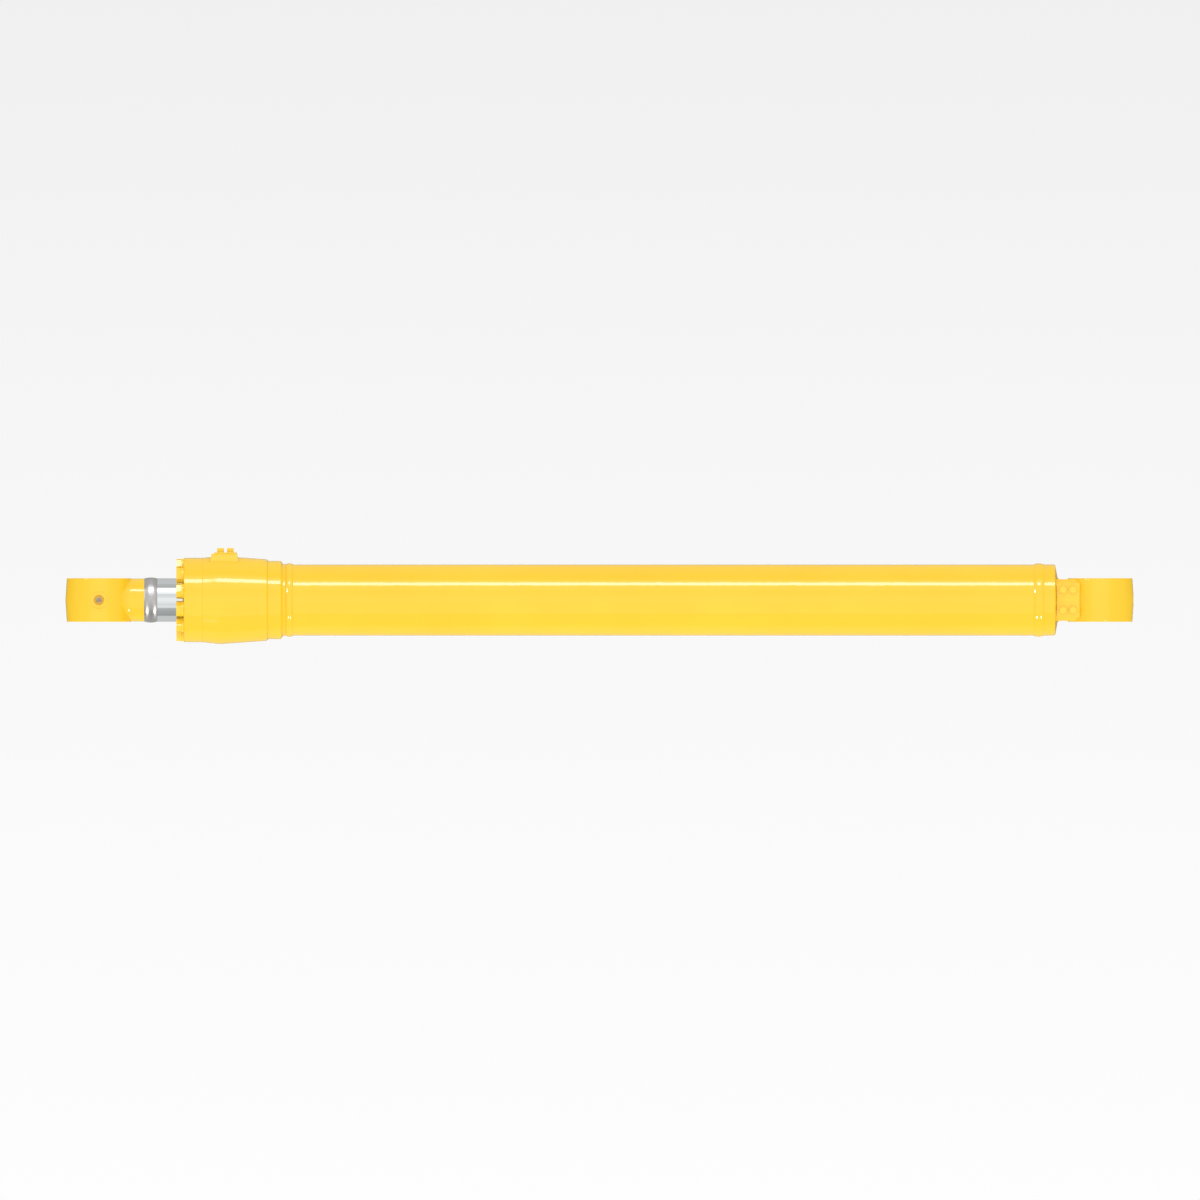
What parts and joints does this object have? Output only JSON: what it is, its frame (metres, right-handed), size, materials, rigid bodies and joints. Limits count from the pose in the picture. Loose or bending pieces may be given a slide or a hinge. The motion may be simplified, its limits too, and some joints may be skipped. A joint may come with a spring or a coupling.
{
  "type": "hydraulic cylinder",
  "caption": "Double-acting hydraulic cylinder with a welded base, a bolted gland, a chromed rod and a bushed pin eye at each end.",
  "frame": {"origin": "centre of the base eye's pin bore", "axes": "+X along the cylinder from the base eye to the rod eye, the way the rod extends; +Z along both pin bores, out of the side with the head port"},
  "size_m": [2.1053, 0.173, 0.1887],
  "materials": {
    "paint": "semi-gloss enamel over a forged, machined and welded steel body",
    "painted_hardware": "semi-gloss enamel brushed over fasteners and plates",
    "rod_chrome": "ground and polished hard chrome",
    "weld_steel": "bare turned weld metal",
    "bush_bronze": "machined bronze",
    "seal_rubber": "moulded black rubber",
    "seal_polymer": "machined blue polymer",
    "wear_resin": "brown fabric-filled resin",
    "plated_steel": "zinc-plated steel",
    "spring_steel": "phosphated spring steel",
    "machined_steel": "turned steel"
  },
  "bodies": {
    "barrel": {"base_cap": "paint", "base_eye_bush": "bush_bronze", "base_dust_seals": "seal_rubber", "base_grease_nipple": "plated_steel", "base_port_plate": "painted_hardware", "base_port_oring": "seal_rubber", "base_port_bolts": "painted_hardware", "base_port_washers": "painted_hardware", "base_weld_bead": "paint", "barrel_tube": "paint", "head_weld_bead": "paint", "head_collar": "paint", "head_port_plate": "painted_hardware", "head_port_oring": "seal_rubber", "head_port_bolts": "painted_hardware", "head_port_washers": "painted_hardware", "gland": "paint", "gland_bolts": "painted_hardware", "gland_washers": "painted_hardware", "gland_oring": "seal_rubber", "gland_backup_ring": "seal_polymer", "rod_bush": "bush_bronze", "rod_bush_snap_ring": "spring_steel", "rod_buffer_ring": "seal_polymer", "rod_seal": "seal_rubber", "rod_seal_backup_ring": "seal_polymer", "rod_wiper": "seal_rubber", "wiper_snap_ring": "spring_steel"},
    "piston_rings": {"piston_seal": "seal_polymer", "piston_seal_energiser": "seal_rubber", "piston_wear_rings": "wear_resin", "piston_dirt_rings": "seal_polymer"},
    "rod": {"piston_rod": "rod_chrome", "piston": "machined_steel", "piston_oring": "seal_rubber", "piston_nut": "machined_steel", "nut_lock_screw": "machined_steel", "nut_lock_ball": "machined_steel", "front_cushion_ring": "machined_steel", "rear_cushion_plunger": "machined_steel", "rod_weld_bead": "weld_steel", "rod_eye": "paint", "rod_eye_bush": "bush_bronze", "rod_dust_seals": "seal_rubber", "rod_grease_nipple": "plated_steel"}
  },
  "joints": [
    {"name": "rod_slide", "type": "slide", "parent": "barrel", "child": "piston_rings", "axis": [1, 0, 0], "range_m": [0, 1.38]},
    {"name": "rod_turn", "type": "hinge", "parent": "piston_rings", "child": "rod", "pos_m": [0.235, 0, 0], "axis": [1, 0, 0], "continuous": true}
  ]
}
